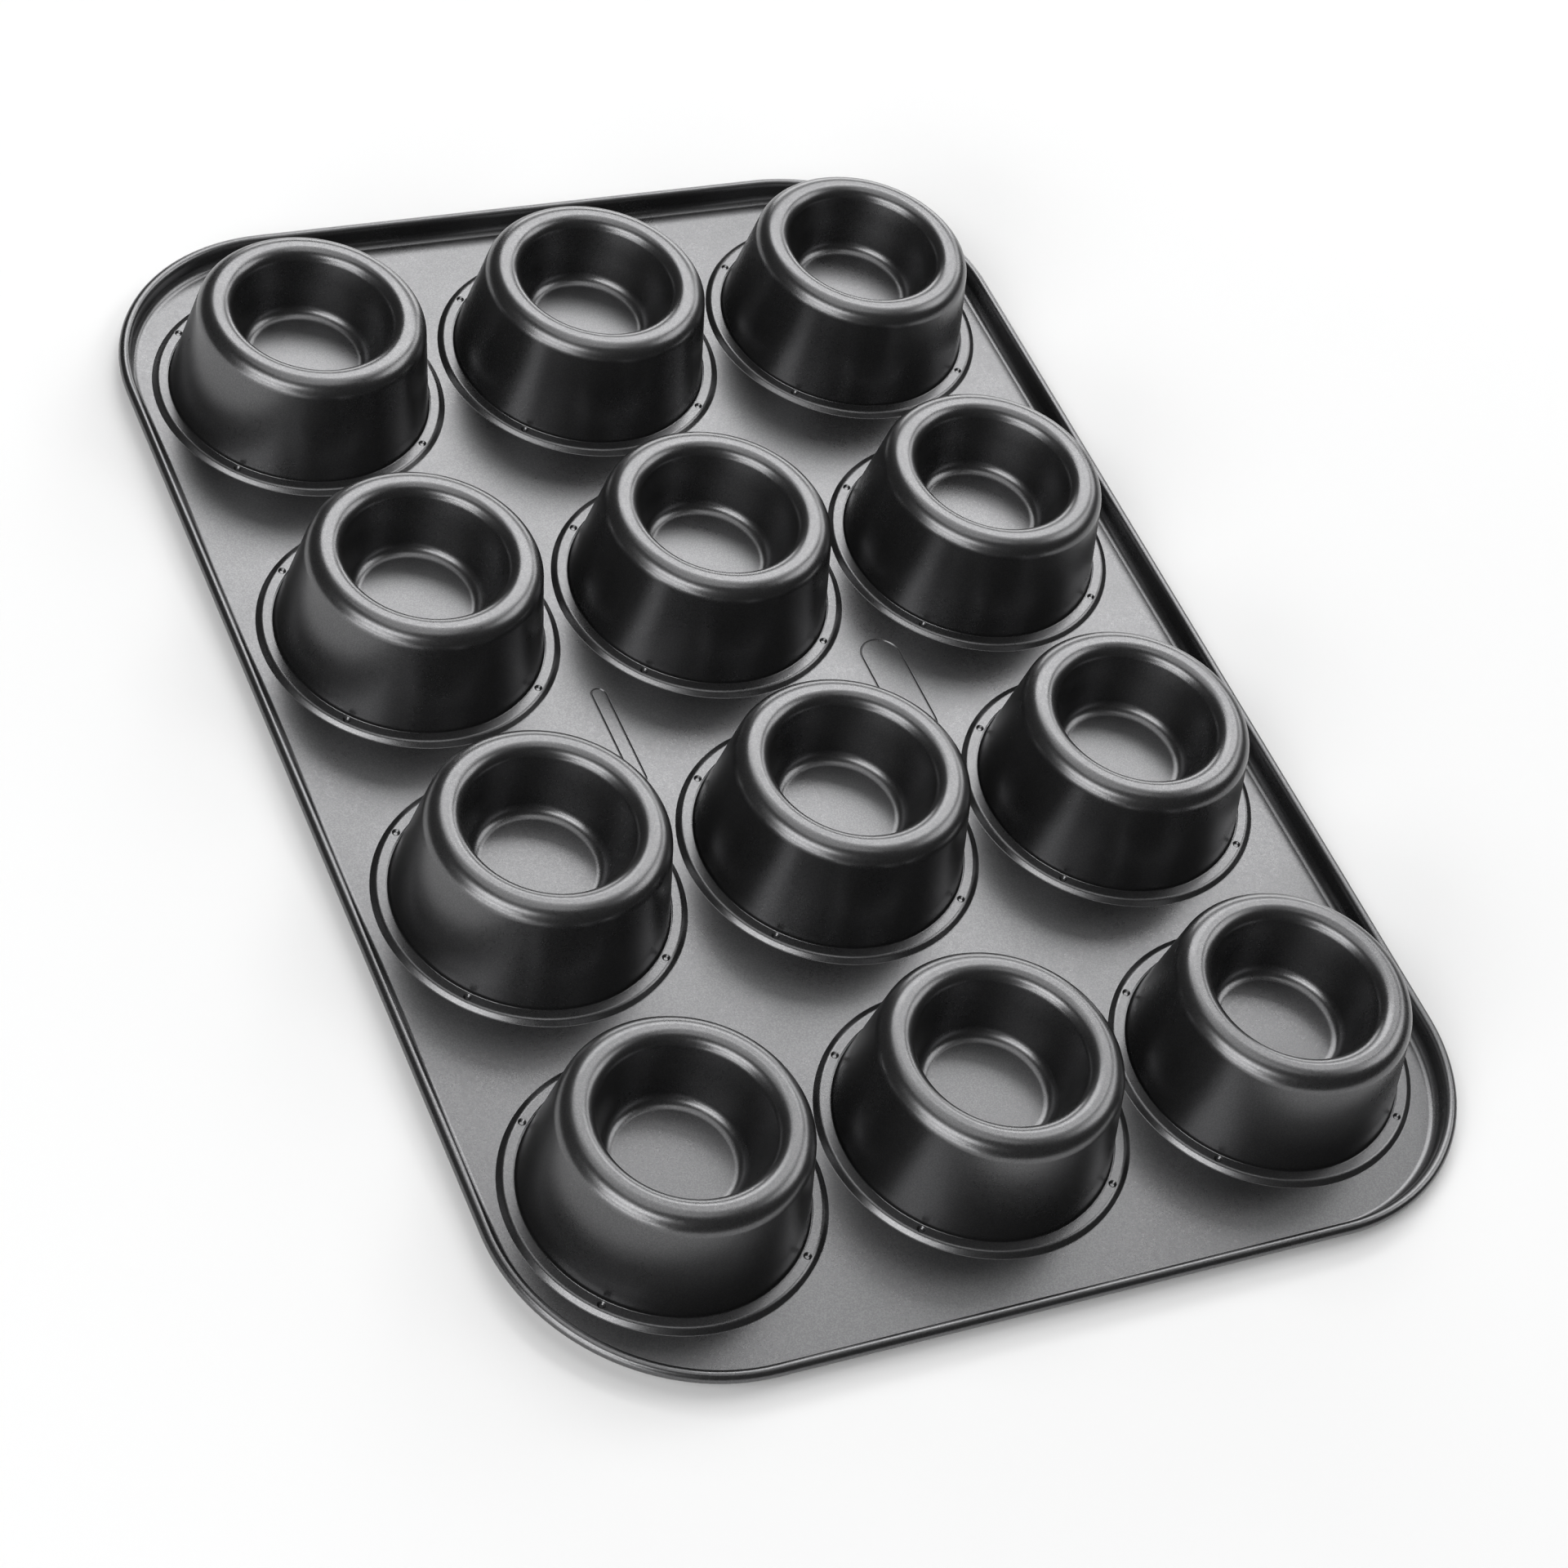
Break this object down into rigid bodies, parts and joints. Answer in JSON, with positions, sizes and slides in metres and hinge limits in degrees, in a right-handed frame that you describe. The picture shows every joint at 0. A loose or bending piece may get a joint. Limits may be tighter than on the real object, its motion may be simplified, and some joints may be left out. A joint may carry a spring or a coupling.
{
  "type": "muffin tin",
  "caption": "Muffin tin lying bottoms up: coated sheet deck with a rolled rim and staked-in deep-drawn cups, each with a raised middle.",
  "frame": {"origin": "centre of the deck's food side, the face that the tin lies on when it is bottoms up", "axes": "+X across the three columns, +Y along the four rows from row d to row a, +Z towards the cup bottoms"},
  "size_m": [0.266, 0.3912, 0.0318],
  "materials": {
    "nonstick_coating": "semi-gloss non-stick coating with a fine speckle"
  },
  "bodies": {
    "root": {"deck": "nonstick_coating", "cup_a1": "nonstick_coating", "cup_a2": "nonstick_coating", "cup_a3": "nonstick_coating", "cup_b1": "nonstick_coating", "cup_b2": "nonstick_coating", "cup_b3": "nonstick_coating", "cup_c1": "nonstick_coating", "cup_c2": "nonstick_coating", "cup_c3": "nonstick_coating", "cup_d1": "nonstick_coating", "cup_d2": "nonstick_coating", "cup_d3": "nonstick_coating"}
  },
  "joints": []
}
